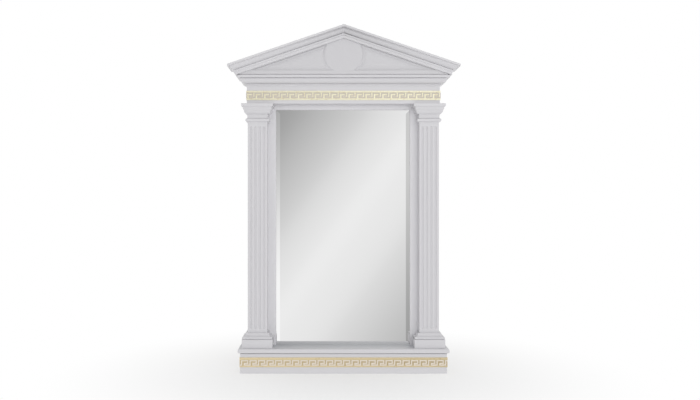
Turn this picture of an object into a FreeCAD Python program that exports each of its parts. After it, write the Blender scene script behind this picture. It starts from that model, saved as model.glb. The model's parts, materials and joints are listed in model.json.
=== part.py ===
import FreeCAD, Part
import math
import os

# Wall mirror in the form of a small classical front: a plinth with a ledge, two fluted
# pilasters, a frieze with a key pattern and a pediment. Millimetres, +X right, +Y to the
# wall, +Z up. The origin is on the floor, in the middle of the width and of the depth.

Vector = FreeCAD.Vector

# Plan. Every overhang is measured outwards from the faces of the pilaster shafts.
half_width = 500.0
pilaster_width = 102.0
pilaster_projection = 66.0
frame_thickness = 40.0
wall_standoff = 6.5

# Tiers, from the floor up.
plinth_height = 106.0
ledge_thickness = 23.0
block_height = 45.0
base_moulding_height = 32.0
shaft_height = 1101.0
astragal_height = 20.5
neck_height = 21.5
capital_height = 54.0
frieze_height = 87.0
cornice_height = 61.5
dust_board_thickness = 5.0
tip_height = 45.5
pediment_rise = 203.0

# Overhangs of the tiers.
plinth_overhang = 36.5
ledge_overhang = 48.0
block_overhang = 29.0
astragal_overhang = 12.0
neck_overhang = 2.5
abacus_overhang = 31.5
frieze_overhang = 4.5
cornice_overhang = 51.0
tympanum_overhang = 47.0
crown_overhang = 97.0

# Boards.
plinth_board = 18.0
plinth_quirk = 3.5
frieze_board = 18.0
soffit_board = 12.0
shaft_front_board = 22.0
shaft_side_board = 15.0
tympanum_board = 18.0
pediment_side_board = 18.0
pediment_back_board = 9.0
roof_board = 9.0
ledge_edge_radius = 7.0

# Mirror glass and what holds it.
stile_show = 26.0
rail_show = 7.5
sight_bead_width = 16.0
sight_bead_setback = 2.0
sight_bead_radius = 3.0
glass_setback = 8.0
glass_thickness = 5.0
glass_cover = 6.0
glass_bevel = 27.0
glass_bevel_depth = 1.5
glass_groove = 12.0
setting_block_length = 40.0
setting_block_height = 2.0
setting_block_place = 200.0
back_panel_thickness = 6.0
rebate_width = 18.0
panel_clearance = 1.0
batten_width = 14.0
batten_thickness = 8.0

# Flutes of a shaft.
flute_count = 4
flute_pitch = 22.6
flute_width = 11.0
flute_depth = 4.6
flute_end_gap = 21.0

# Key bands: a gilt strip with two raised rails, and the fret laid on it. A fret's start is
# where its first whole unit begins, measured from the end of the band.
key_band_thickness = 1.5
key_rail_relief = 1.2
key_fret_relief = 1.2
key_pitch = 44.05
frieze_key_start = -1.8
plinth_key_start = 7.0
key_stroke = 5.0
key_fret_gap = 1.5
frieze_band_height = 48.5
frieze_band_rise = 19.2
frieze_rail_height = 9.2
plinth_band_height = 50.0
plinth_band_rise = 34.0
plinth_rail_height = 12.0
plinth_foot_rail_height = 7.0

# Sunk and fielded panels of the tympanum.
panel_circle_radius = 98.0
panel_circle_height = 103.5
panel_bottom_margin = 20.0
panel_top_margin = 2.0
panel_slope_width = 9.0
panel_band_width = 24.0
panel_sink = 5.5
panel_field_sink = 1.0
panel_thickness = 11.0

# Raking crown.
crown_height = 63.0

# Hangers and felt pads on the back.
hanger_drop = 103.0
hanger_inset = 56.0
strap_width = 15.0
strap_length = 62.0
strap_thickness = 1.2
loop_wire_radius = 1.75
loop_clearance = 0.08
loop_inner_width = 24.0
loop_inner_drop = 22.0
strap_screw_first = 36.0
strap_screw_pitch = 16.0
screw_head_radius = 4.0
screw_crown_radius = 2.4
screw_head_height = 2.2
screw_shank_radius = 1.8
screw_length = 25.0
screw_clearance = 0.2
pad_side = 25.0
pad_inset = 27.5
pad_end_gap = 32.0

# Glue blocks behind the mitred corners.
glue_block = 30.0
glue_block_gap = 4.0

overrun = 5.0

# Shares of a moulding's overhang and height: two numbers end a straight line, four give
# an arc's middle and its end.
base_shares = [
    (0.0, 0.0), (0.78, 0.0), (0.78, 0.04), (0.95, 0.24, 0.78, 0.44), (0.66, 0.44), (0.66, 0.52),
    (0.45, 0.57, 0.36, 0.74), (0.36, 1.0), (0.0, 1.0),
]
capital_shares = [
    (0.0, 0.0), (0.27, 0.0), (0.27, 0.04), (0.50, 0.15, 0.58, 0.33), (0.63, 0.33), (0.63, 0.37),
    (0.73, 0.46, 0.76, 0.60), (0.79, 0.66, 0.84, 0.70), (0.84, 0.73), (1.0, 0.73), (1.0, 1.0), (0.0, 1.0),
]
astragal_shares = [
    (0.0, 0.0), (0.12, 0.0), (0.12, 0.08), (0.45, 0.10), (1.0, 0.53, 0.45, 0.96), (0.0, 0.96),
]
cornice_shares = [
    (0.0, 0.09), (0.12, 0.11), (0.12, 0.235), (0.06, 0.245), (0.06, 0.275), (0.22, 0.285),
    (0.56, 0.38, 0.69, 0.68), (0.61, 0.68), (0.61, 0.745), (1.0, 0.745), (1.0, 0.914), (0.80, 0.914),
    (0.80, 1.0), (0.0, 1.0),
]
crown_shares = [
    (0.0, 0.0), (1.0, 0.0), (1.0, -0.175), (0.84, -0.19), (0.76, -0.225, 0.72, -0.30),
    (0.60, -0.475, 0.36, -0.58), (0.26, -0.585), (0.26, -0.615), (0.33, -0.625), (0.33, -0.765),
    (0.25, -0.78), (0.25, -1.0), (0.0, -1.0),
]

# Shares of the fret's pitch and height along one unit of its line.
fret_shares = [(0.0, 0.0), (0.0, 1.0), (0.72, 1.0), (0.72, 0.38), (0.33, 0.38), (0.33, 0.0)]

# Levels.
ledge_top = plinth_height + ledge_thickness
block_top = ledge_top + block_height
base_top = block_top + base_moulding_height
astragal_bottom = base_top + shaft_height
neck_bottom = astragal_bottom + astragal_height
capital_bottom = neck_bottom + neck_height
frieze_bottom = capital_bottom + capital_height
frieze_top = frieze_bottom + frieze_height
cornice_top = frieze_top + cornice_height
pediment_floor = cornice_top + dust_board_thickness
apex_height = cornice_top + tip_height + pediment_rise

# Planes from front to back.
total_depth = crown_overhang + pilaster_projection + frame_thickness + wall_standoff
wall_y = total_depth / 2
back_y = wall_y - wall_standoff
frame_y = back_y - frame_thickness
face_y = frame_y - pilaster_projection
glass_y = frame_y + glass_setback
glass_back_y = glass_y + glass_thickness

# Places across the width.
inner_edge = half_width - pilaster_width
stile_edge = inner_edge - stile_show
sight_edge = stile_edge - sight_bead_width
rake = pediment_rise / (half_width + crown_overhang)
tympanum_edge = half_width + tympanum_overhang
sight_top = frieze_bottom - rail_show - sight_bead_width
rail_bottom = sight_top + sight_bead_width
hinge_rise = strap_thickness + loop_clearance + loop_wire_radius
hinge_y = back_y + hinge_rise
hinge_height = frieze_bottom - hanger_drop
hanger_x = half_width - hanger_inset


def box(low_x, high_x, low_y, high_y, low_z, high_z):
    """Return a block between two corners."""
    size = Vector(high_x - low_x, high_y - low_y, high_z - low_z)
    return Part.makeBox(size.x, size.y, size.z, Vector(low_x, low_y, low_z))


def outline_face(path, place):
    """Return the face inside a path, each of whose points goes through place."""
    edges = []
    at = place(*path[0][-2:])
    for step in path[1:] + path[:1]:
        to = place(*step[-2:])
        if at.distanceToPoint(to) > 0:
            if len(step) == 4:
                edges.append(Part.Arc(at, place(*step[:2]), to).toShape())
            else:
                edges.append(Part.makeLine(at, to))
        at = to
    return Part.Face(Part.Wire(edges))


def spread(shares, low, high, bottom, height):
    """Turn shares into overhangs between low and high and heights above bottom."""
    def real(pair):
        return low + pair[0] * (high - low), bottom + pair[1] * height
    return [sum((real(step[i:i + 2]) for i in range(0, len(step), 2)), ()) for step in shares]


def strip(low, high, bottom, top):
    """Return the path of a plain board between two overhangs and two heights."""
    return [(low, bottom), (high, bottom), (high, top), (low, top)]


def front_zone(left, right, reach, depth, bottom, top):
    """Return the space in front of two mitres that start at the corners of a face."""
    corners = [
        Vector(left - reach, face_y - reach, bottom),
        Vector(right + reach, face_y - reach, bottom),
        Vector(right - depth, face_y + depth, bottom),
        Vector(left + depth, face_y + depth, bottom),
    ]
    face = Part.Face(Part.makePolygon(corners + corners[:1]))
    return face.extrude(Vector(0, 0, top - bottom))


def wrap(path, left, right, left_back, right_back):
    """Return a moulding's front, left and right runs, mitred at the corners."""
    reach = max(step[-2] for step in path) + overrun
    depth = max(-min(step[-2] for step in path), 0) + overrun
    bottom = min(step[-1] for step in path) - overrun
    top = max(step[-1] for step in path) + overrun
    zone = front_zone(left, right, reach, depth, bottom, top)
    start = face_y - reach
    front = outline_face(path, lambda o, z: Vector(left - reach, face_y - o, z))
    front = front.extrude(Vector(right - left + 2 * reach, 0, 0)).common(zone)
    left_run = outline_face(path, lambda o, z: Vector(left - o, start, z))
    left_run = left_run.extrude(Vector(0, left_back - start, 0)).cut(zone)
    right_run = outline_face(path, lambda o, z: Vector(right + o, start, z))
    right_run = right_run.extrude(Vector(0, right_back - start, 0)).cut(zone)
    return front, left_run, right_run


def joined(pieces):
    """Fuse pieces into one solid."""
    return pieces[0].multiFuse(list(pieces[1:])).removeSplitter()


def mirrored(shape):
    """Return the left-hand twin of a right-hand piece."""
    return shape.mirror(Vector(0, 0, 0), Vector(1, 0, 0))


def save(name, *solids):
    """Write one node, from one solid or from a group of alike solids."""
    shape = solids[0] if len(solids) == 1 else Part.makeCompound(list(solids))
    shape.exportStep("parts/%s.step" % name)


def save_pair(before, after, shape):
    """Write a right-hand piece and its left-hand twin."""
    save(before + "right" + after, shape)
    save(before + "left" + after, mirrored(shape))


def strap_screw_places():
    """Return where the screws of the right-hand hanger strap stand."""
    top = hinge_height - strap_screw_first
    return [Vector(hanger_x, back_y + strap_thickness, top - i * strap_screw_pitch) for i in range(2)]


def make_frame():
    """Make the stiles and the T-shaped head rail that carry the glass, and the glazing beads."""
    stile = box(stile_edge, half_width, frame_y, back_y, ledge_top, frieze_bottom)
    rebate = box(-stile_edge - rebate_width, stile_edge + rebate_width, glass_back_y, back_y + overrun,
                 0, rail_bottom + rebate_width)
    stile = stile.cut(rebate)
    for place in strap_screw_places():
        stile = stile.cut(Part.makeCylinder(screw_shank_radius + screw_clearance,
                                            screw_length + screw_clearance, place, Vector(0, -1, 0)))
    save_pair("frame_", "_stile", stile)

    head_half = half_width + frieze_overhang - frieze_board
    rail = box(-stile_edge, stile_edge, frame_y, back_y, rail_bottom, frieze_bottom)
    head = box(-head_half, head_half, frame_y, back_y, frieze_bottom, cornice_top)
    save("frame_head_rail", joined([rail, head]).cut(rebate))

    depth = glass_setback - sight_bead_setback
    slack = sight_bead_radius * (1 - math.sqrt(0.5))
    path = [(0, 0), (0, depth), (sight_bead_width - sight_bead_radius, depth),
            (sight_bead_width - slack, depth - slack, sight_bead_width, depth - sight_bead_radius),
            (sight_bead_width, 0)]
    upright = outline_face(path, lambda o, d: Vector(stile_edge - o, glass_y - d, ledge_top))
    upright = upright.extrude(Vector(0, 0, rail_bottom - ledge_top))
    across = outline_face(path, lambda o, d: Vector(-stile_edge, glass_y - d, rail_bottom - o))
    across = across.extrude(Vector(2 * stile_edge, 0, 0))
    reach = sight_bead_width + overrun
    mitre = [(stile_edge + overrun, rail_bottom + overrun), (stile_edge - reach, rail_bottom + overrun),
             (stile_edge - reach, rail_bottom - reach)]
    mitre = outline_face(mitre, lambda x, z: Vector(x, glass_y - depth - overrun, z))
    mitre = mitre.extrude(Vector(0, depth + 2 * overrun, 0))
    save_pair("sight_bead_", "", upright.cut(mitre))
    ends = box(stile_edge - reach, stile_edge + overrun, glass_y - depth - overrun, glass_y + overrun,
               rail_bottom - reach, rail_bottom + overrun).cut(mitre)
    save("sight_bead_top", across.cut(ends).cut(mirrored(ends)))


def make_glass():
    """Make the bevelled mirror, its setting blocks and the panel behind it."""
    groove_floor = ledge_top - glass_groove
    low_z = groove_floor + setting_block_height
    high_z = sight_top + glass_cover
    edge_x = sight_edge + glass_cover
    edge_y = glass_y + glass_bevel_depth
    def rim(inset, y):
        corners = [Vector(-edge_x + inset, y, low_z + inset), Vector(edge_x - inset, y, low_z + inset),
                   Vector(edge_x - inset, y, high_z - inset), Vector(-edge_x + inset, y, high_z - inset)]
        return Part.makePolygon(corners + corners[:1])
    bevel = Part.makeLoft([rim(0, edge_y), rim(glass_bevel, glass_y)], True, True)
    sheet = box(-edge_x, edge_x, edge_y, glass_back_y, low_z, high_z)
    save("mirror_glass", joined([sheet, bevel]))

    half = setting_block_length / 2
    blocks = [box(x - half, x + half, glass_y + glass_bevel_depth, glass_back_y, groove_floor, low_z)
              for x in (-setting_block_place, setting_block_place)]
    save("glass_setting_blocks", *blocks)


def make_back_panel():
    """Make the panel that closes the back of the glass, and the battens that hold it in its rebate."""
    half = stile_edge + rebate_width
    top = rail_bottom + rebate_width
    behind = glass_back_y + back_panel_thickness
    panel = box(panel_clearance - half, half - panel_clearance, glass_back_y, behind,
                ledge_top - glass_groove, top - panel_clearance)
    save("back_panel", panel)
    side = box(half - batten_width, half, behind, behind + batten_thickness, ledge_top, top)
    across = box(batten_width - half, half - batten_width, behind, behind + batten_thickness,
                 top - batten_width, top)
    save("back_panel_battens", side, mirrored(side), across)


def flute_tool(x):
    """Return the round-ended cutter of one flute."""
    radius = (flute_width * flute_width / 4 + flute_depth * flute_depth) / (2 * flute_depth)
    low = Vector(x, face_y + flute_depth - radius, base_top + flute_end_gap + flute_width / 2)
    length = shaft_height - 2 * flute_end_gap - flute_width
    high = low + Vector(0, 0, length)
    shaft = Part.makeCylinder(radius, length, low)
    return shaft.fuse(Part.makeSphere(radius, low)).fuse(Part.makeSphere(radius, high))


def make_pilasters():
    """Make each fluted shaft as a box of three boards, with its base and its capital."""
    front = box(inner_edge, half_width, face_y, face_y + shaft_front_board, ledge_top, frieze_bottom)
    middle = (inner_edge + half_width) / 2
    for i in range(flute_count):
        front = front.cut(flute_tool(middle + (i - (flute_count - 1) / 2) * flute_pitch))
    save_pair("pilaster_", "_fluted_front", front)
    behind = face_y + shaft_front_board
    inner = box(inner_edge, inner_edge + shaft_side_board, behind, frame_y, ledge_top, frieze_bottom)
    save_pair("pilaster_", "_inner_side", inner)
    outer = box(half_width - shaft_side_board, half_width, behind, frame_y, ledge_top, frieze_bottom)
    save_pair("pilaster_", "_outer_side", outer)

    around = (inner_edge, half_width, frame_y, back_y)
    block = wrap(strip(0, block_overhang, ledge_top, block_top), *around)
    save_pair("pilaster_", "_base_block", joined(block))
    base = wrap(spread(base_shares, 0, block_overhang, block_top, base_moulding_height), *around)
    save_pair("pilaster_", "_base_moulding", joined(base))
    ring = wrap(spread(astragal_shares, 0, astragal_overhang, astragal_bottom, astragal_height), *around)
    save_pair("pilaster_", "_astragal", joined(ring))
    neck = strip(0, neck_overhang, neck_bottom, capital_bottom)
    capital = spread(capital_shares, 0, abacus_overhang, capital_bottom, capital_height)
    save_pair("pilaster_", "_capital", joined(wrap(neck, *around) + wrap(capital, *around)))


def make_plinth():
    """Make the hollow plinth, its key band and the ledge that lies on it."""
    whole = (-half_width, half_width, back_y, back_y)
    low = plinth_overhang - plinth_board
    shoulder, neck = plinth_height - plinth_quirk, plinth_overhang - plinth_quirk
    path = [(low, 0), (plinth_overhang, 0), (plinth_overhang, shoulder), (neck, shoulder),
            (neck, plinth_height), (low, plinth_height)]
    front, left, right = wrap(path, *whole)
    save("plinth_front_board", front)
    save("plinth_left_board", left)
    save("plinth_right_board", right)
    inside = half_width + low
    save("plinth_back_board", box(-inside, inside, back_y - plinth_board, back_y, 0, plinth_height))

    edge = half_width + ledge_overhang
    ledge = box(-edge, edge, face_y - ledge_overhang, back_y, plinth_height, ledge_top)
    rim = [side for side in ledge.Edges if side.CenterOfMass.y < back_y - ledge_edge_radius
           and abs(side.CenterOfMass.z - (plinth_height + ledge_top) / 2) > ledge_edge_radius]
    ledge = ledge.makeFillet(ledge_edge_radius, rim)
    groove_half = stile_edge + rebate_width
    for half, start in ((groove_half, glass_back_y), (stile_edge, glass_y)):
        ledge = ledge.cut(box(-half, half, start, back_y + overrun,
                              ledge_top - glass_groove, ledge_top + overrun))
    save("ledge", ledge)


def key_band(base, bottom, height, foot_rail, head_rail):
    """Return the gilt strip with its two rails, folded round the corners of a tier."""
    ground = base + key_band_thickness
    raised = ground + key_rail_relief
    top = bottom + height
    path = [(base, bottom), (raised, bottom), (raised, bottom + foot_rail),
            (ground, bottom + foot_rail), (ground, top - head_rail),
            (raised, top - head_rail), (raised, top), (base, top)]
    return joined(wrap(path, -half_width, half_width, back_y, back_y))


def fret_line(length, first):
    """Return the fret's centre line past both ends of a length, as distances and shares of its height."""
    before = math.ceil(first / key_pitch) + 1
    after = math.ceil((length - first) / key_pitch)
    line = [(first + (unit + share) * key_pitch, rise)
            for unit in range(-before, after) for share, rise in fret_shares]
    return line + [(first + after * key_pitch, 0.0)]


def fret(length, bottom, height, first, place, thickness):
    """Return one straight length of fret, cut off at the ends of the band."""
    half = key_stroke / 2
    low = bottom + half
    rise = height - key_stroke
    points = [(half + x, low + share * rise) for x, share in fret_line(length, first)]
    sides = ([], [])
    for i, (x, z) in enumerate(points):
        before = points[max(i - 1, 0)]
        after = points[min(i + 1, len(points) - 1)]
        normals = []
        for start, end in ((before, (x, z)), ((x, z), after)):
            run = math.hypot(end[0] - start[0], end[1] - start[1])
            if run > 0:
                normals.append(((start[1] - end[1]) / run, (end[0] - start[0]) / run))
        across = sum(normal[0] for normal in normals) * half
        along = sum(normal[1] for normal in normals) * half
        sides[0].append((x + across, z + along))
        sides[1].append((x - across, z - along))
    ribbon = outline_face(sides[0] + sides[1][::-1], lambda x, z: place(x, z))
    ribbon = ribbon.extrude(thickness)
    keep = outline_face(strip(0, length, bottom, bottom + height), lambda x, z: place(x, z))
    return ribbon.common(keep.extrude(thickness))


def key_fret(base, bottom, height, foot_rail, head_rail, first):
    """Return the fret that lies on a key band's ground, folded round its corners."""
    ground = base + key_band_thickness
    low = bottom + foot_rail + key_fret_gap
    tall = height - foot_rail - head_rail - 2 * key_fret_gap
    edge = half_width + ground
    front_y = face_y - ground
    front = fret(2 * edge, low, tall, first, lambda x, z: Vector(x - edge, front_y, z),
                 Vector(0, -key_fret_relief, 0))
    start = front_y - key_fret_relief
    right = fret(back_y - start, low, tall, first, lambda x, z: Vector(edge, start + x, z),
                 Vector(key_fret_relief, 0, 0))
    return joined([front, right, mirrored(right)])


def make_key_bands():
    """Make the gilt bands of the frieze and the plinth with their frets."""
    tiers = (
        ("frieze", frieze_key_start, frieze_overhang, frieze_bottom + frieze_band_rise,
         frieze_band_height, frieze_rail_height, frieze_rail_height),
        ("plinth", plinth_key_start, plinth_overhang, plinth_band_rise,
         plinth_band_height, plinth_foot_rail_height, plinth_rail_height),
    )
    for name, first, *band in tiers:
        save(name + "_key_band", key_band(*band))
        save(name + "_key_fret", key_fret(*band, first))


def make_frieze():
    """Make the frieze boards, the soffit and the cornice moulding."""
    whole = (-half_width, half_width, back_y, back_y)
    low = frieze_overhang - frieze_board
    boards = wrap(strip(low, frieze_overhang, frieze_bottom, cornice_top), *whole)
    mould = wrap(spread(cornice_shares, frieze_overhang, cornice_overhang, frieze_top, cornice_height), *whole)
    for place, board, run in zip(("front", "left", "right"), boards, mould):
        save("frieze_%s_board" % place, board)
        save("cornice_%s" % place, run)
    inside = half_width + low
    save("frieze_soffit", box(-inside, inside, face_y - low, frame_y, frieze_bottom, frieze_bottom + soffit_board))
    reach = tympanum_edge - pediment_side_board
    save("dust_board", box(-reach, reach, face_y - tympanum_overhang + tympanum_board, back_y,
                           cornice_top, pediment_floor))


def roof_underside(x):
    """Return the height of the roof's underside at a distance from the centre."""
    return apex_height - roof_board - rake * x


def panel_outline(inset, level):
    """Return the outline of the right-hand tympanum panel, drawn in by an inset."""
    centre = cornice_top + panel_circle_height
    radius = panel_circle_radius + inset
    low = cornice_top + panel_bottom_margin + inset
    steep = math.sqrt(1 + rake * rake)
    high = apex_height - crown_height - panel_top_margin - inset * steep
    drop = high - centre
    top_x = (rake * drop + math.sqrt(radius * radius * steep * steep - drop * drop)) / (steep * steep)
    top_angle = math.atan2(high - rake * top_x - centre, top_x)
    low_angle = math.asin((low - centre) / radius)
    middle = (top_angle + low_angle) / 2
    def on_circle(angle):
        return Vector(radius * math.cos(angle), level, centre + radius * math.sin(angle))
    point = Vector((high - low) / rake, level, low)
    arc = Part.Arc(on_circle(low_angle), on_circle(middle), on_circle(top_angle)).toShape()
    top = Part.makeLine(on_circle(top_angle), point)
    foot = Part.makeLine(point, on_circle(low_angle))
    return Part.Wire([arc, top, foot])


def tympanum_panel():
    """Return the right-hand panel: a slope into a groove, and a field raised out of it."""
    ground = face_y - tympanum_overhang
    slab = Part.Face(panel_outline(0, ground)).extrude(Vector(0, panel_thickness, 0))
    floor = panel_outline(panel_slope_width, ground + panel_sink)
    hollow = Part.makeLoft([floor, panel_outline(0, ground)], True, True)
    field = Part.makeLoft([floor, panel_outline(panel_band_width, ground + panel_field_sink)], True, True)
    return slab.cut(hollow).fuse(field).removeSplitter()


def make_pediment():
    """Make the pediment's boards, its panels, its raking crown and the crown's returns."""
    ground = face_y - tympanum_overhang
    outline = [(-tympanum_edge, cornice_top), (tympanum_edge, cornice_top),
               (tympanum_edge, roof_underside(tympanum_edge)), (0, roof_underside(0)),
               (-tympanum_edge, roof_underside(tympanum_edge))]
    board = outline_face(outline, lambda x, z: Vector(x, ground, z)).extrude(Vector(0, tympanum_board, 0))
    pocket = Part.Face(panel_outline(0, ground)).extrude(Vector(0, panel_thickness, 0))
    save("tympanum_board", board.cut(pocket).cut(mirrored(pocket)))
    save_pair("tympanum_", "_panel", tympanum_panel())

    behind = ground + tympanum_board
    inside = tympanum_edge - pediment_side_board
    side = [(inside, cornice_top), (tympanum_edge, cornice_top),
            (tympanum_edge, roof_underside(tympanum_edge)), (inside, roof_underside(inside))]
    side = outline_face(side, lambda x, z: Vector(x, behind, z)).extrude(Vector(0, back_y - behind, 0))
    save_pair("pediment_", "_side", side)
    back = [(-inside, pediment_floor), (inside, pediment_floor), (inside, roof_underside(inside)),
            (0, roof_underside(0)), (-inside, roof_underside(inside))]
    back = outline_face(back, lambda x, z: Vector(x, back_y - pediment_back_board, z))
    save("pediment_back", back.extrude(Vector(0, pediment_back_board, 0)))
    roof = [(0, roof_underside(0)), (tympanum_edge, roof_underside(tympanum_edge)),
            (tympanum_edge, roof_underside(tympanum_edge) + roof_board), (0, apex_height)]
    roof = outline_face(roof, lambda x, z: Vector(x, ground, z)).extrude(Vector(0, back_y - ground, 0))
    save_pair("roof_", "_board", roof)

    path = spread(crown_shares, tympanum_overhang, crown_overhang, 0, crown_height)
    reach = crown_overhang + overrun
    run = half_width + reach
    zone = front_zone(-half_width, half_width, reach, overrun - tympanum_overhang, 0, apex_height + overrun)
    zone = zone.common(box(0, run, -total_depth, total_depth, 0, apex_height + overrun))
    along = Vector(1, 0, -rake).normalize()
    upright = Vector(rake, 0, 1).normalize()
    start = Vector(0, 0, apex_height) - along * crown_height
    raking = outline_face(path, lambda p, h: start + Vector(0, face_y - p, 0) + upright * (h * upright.z))
    save_pair("raking_crown_", "", raking.extrude(along * (run + crown_height) / along.x).common(zone))
    start = face_y - reach
    turned = outline_face(path, lambda p, h: Vector(half_width + p, start, apex_height - rake * (half_width + p) + h))
    turned = turned.extrude(Vector(0, back_y - start, 0)).cut(zone)
    save_pair("crown_return_", "", turned)


def make_glue_blocks():
    """Make the blocks glued behind the mitred corners of the plinth and the frieze."""
    blocks = []
    tiers = ((plinth_overhang - plinth_board, glue_block_gap, plinth_height - glue_block_gap),
             (frieze_overhang - frieze_board, frieze_bottom + soffit_board, cornice_top - glue_block_gap))
    for low, bottom, top in tiers:
        corner = half_width + low
        front = face_y - low
        block = box(corner - glue_block, corner, front, front + glue_block, bottom, top)
        blocks += [block, mirrored(block)]
    save("corner_glue_blocks", *blocks)


def make_hanger():
    """Make a strap screwed to the stile and the wire loop that swings in its eye."""
    hinge = Vector(hanger_x, hinge_y, hinge_height)
    side = loop_inner_width / 2 + loop_wire_radius
    drop = loop_inner_drop + loop_wire_radius
    corners = [Vector(0, 0, 0), Vector(side, 0, 0), Vector(side, 0, -drop), Vector(-side, 0, -drop),
               Vector(-side, 0, 0), Vector(0, 0, 0)]
    route = Part.makePolygon([hinge + corner for corner in corners])
    wire = Part.Wire(Part.makeCircle(loop_wire_radius, hinge, Vector(1, 0, 0)))
    loop = route.makePipeShell([wire], True, False, 1)
    save_pair("hanging_loop_", "", loop)

    hole = loop_wire_radius + loop_clearance
    start = hinge - Vector(strap_width / 2, 0, 0)
    eye = Part.makeCylinder(hole + strap_thickness, strap_width, start, Vector(1, 0, 0))
    plate = box(start.x, start.x + strap_width, back_y, back_y + strap_thickness,
                hinge_height - strap_length, hinge_height)
    strap = joined([eye, plate]).cut(Part.makeCylinder(hole, strap_width, start, Vector(1, 0, 0)))
    screws = []
    for place in strap_screw_places():
        strap = strap.cut(Part.makeCylinder(screw_shank_radius + screw_clearance, strap_thickness,
                                            place, Vector(0, -1, 0)))
        head = Part.makeCone(screw_head_radius, screw_crown_radius, screw_head_height, place, Vector(0, 1, 0))
        shank = Part.makeCylinder(screw_shank_radius, screw_length, place, Vector(0, -1, 0))
        screws.append(joined([head, shank]))
    save_pair("hanger_strap_", "", strap)
    save("hanger_screws", *screws, *[mirrored(screw) for screw in screws])


def make_felt_pads():
    """Make the felt pads that keep the hangers clear of the wall."""
    high_x = half_width - pad_inset
    levels = (ledge_top + pad_end_gap, frieze_bottom - pad_end_gap - pad_side)
    pads = [box(high_x - pad_side, high_x, back_y, wall_y, low, low + pad_side) for low in levels]
    save("wall_felt_pads", *pads, *[mirrored(pad) for pad in pads])


os.makedirs("parts", exist_ok=True)
make_frame()
make_glass()
make_back_panel()
make_pilasters()
make_plinth()
make_frieze()
make_key_bands()
make_pediment()
make_glue_blocks()
make_hanger()
make_felt_pads()
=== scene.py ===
"""Looks of a wall mirror shaped as a small classical front, dressed over its CAD frame.

Lengths are metres. X runs to the right, Y into the wall and Z up, as in the frame.
"""

import json
import logging
import math
from collections import Counter
from dataclasses import dataclass, field
from enum import Enum
from typing import Any

import bmesh
import bpy
from mathutils import Matrix, Vector

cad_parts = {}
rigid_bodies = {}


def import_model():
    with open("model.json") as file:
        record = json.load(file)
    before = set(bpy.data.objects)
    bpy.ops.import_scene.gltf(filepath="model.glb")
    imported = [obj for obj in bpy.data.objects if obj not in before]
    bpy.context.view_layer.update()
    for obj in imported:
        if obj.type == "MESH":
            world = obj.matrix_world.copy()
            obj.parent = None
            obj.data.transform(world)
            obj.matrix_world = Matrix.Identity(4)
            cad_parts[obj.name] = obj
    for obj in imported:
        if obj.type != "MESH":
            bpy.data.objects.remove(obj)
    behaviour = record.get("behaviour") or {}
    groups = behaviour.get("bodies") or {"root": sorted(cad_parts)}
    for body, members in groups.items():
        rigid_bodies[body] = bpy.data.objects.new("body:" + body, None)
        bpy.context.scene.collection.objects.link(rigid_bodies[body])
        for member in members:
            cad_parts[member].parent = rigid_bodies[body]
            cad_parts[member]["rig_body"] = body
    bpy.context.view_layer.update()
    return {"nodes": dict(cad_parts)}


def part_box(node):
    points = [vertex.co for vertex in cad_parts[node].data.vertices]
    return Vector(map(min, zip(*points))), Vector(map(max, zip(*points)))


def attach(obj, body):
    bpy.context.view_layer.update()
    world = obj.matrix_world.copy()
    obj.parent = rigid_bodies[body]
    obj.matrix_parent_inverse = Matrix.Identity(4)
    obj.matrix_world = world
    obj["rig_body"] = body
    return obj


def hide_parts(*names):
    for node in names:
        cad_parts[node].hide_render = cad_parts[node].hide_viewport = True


LOG = logging.getLogger("wall_mirror")
MM = 0.001
QUARTER_TURN = math.pi / 2
FRAME_BODY = "mirror_frame"
WHITE = (1.0, 1.0, 1.0, 1.0)
RGBA = {"data_type": "RGBA"}
MULTIPLY = {"operation": "MULTIPLY"}
EASED = {"interpolation_type": "SMOOTHSTEP"}

Colour = tuple[float, float, float, float]
Edges = list[bmesh.types.BMEdge]
Material = bpy.types.Material
Mesh = bmesh.types.BMesh
Point = tuple[float, float, float]
Socket = bpy.types.NodeSocket
Span = tuple[float, float]
Stops = tuple[tuple[float, int], ...]
Tree = bpy.types.NodeTree


class Side(Enum):
    """The left and right halves, by the sign of X."""

    LEFT = -1
    RIGHT = 1

    @property
    def word(self) -> str:
        """The side's name as node names spell it."""
        return self.name.lower()


def linear(code: str) -> Colour:
    """Turn an sRGB hex colour into linear values.

    Args:
        code: Colour such as "#D6D6D9".

    Returns:
        Red, green, blue and an alpha of one.
    """
    channels = [int(code[i : i + 2], 16) / 255 for i in (1, 3, 5)]
    curve = [c / 12.92 if c <= 0.04045 else ((c + 0.055) / 1.055) ** 2.4 for c in channels]
    return curve[0], curve[1], curve[2], 1.0


def per_mm(size: float) -> float:
    """Return the texture scale at which one feature is size millimetres wide."""
    return 1000.0 / size


def add_node(
    tree: Tree, kind: str, settings: dict[str, Any], inputs: dict[Any, Any]
) -> bpy.types.Node:
    """Add a shader node with its settings and links.

    Args:
        tree: Node tree that gets the node.
        kind: Blender's name for the node's type, without the word ShaderNode.
        settings: Attributes of the node.
        inputs: Input sockets by name or number, each a plain value or another node's socket.

    Returns:
        The new node.
    """
    node = tree.nodes.new("ShaderNode" + kind)
    for name, value in settings.items():
        setattr(node, name, value)
    for key, value in inputs.items():
        if isinstance(value, Socket):
            tree.links.new(value, node.inputs[key])
        else:
            node.inputs[key].default_value = value
    return node


def new_tree(name: str) -> tuple[Material, Tree, Socket]:
    """Make an empty material.

    Args:
        name: The material's name.

    Returns:
        The material, its node tree and its object coordinates.
    """
    material = bpy.data.materials.new(name)
    material.use_nodes = True
    tree = material.node_tree
    tree.nodes.clear()
    place = add_node(tree, "TexCoord", {}, {})
    return material, tree, place.outputs["Object"]


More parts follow.
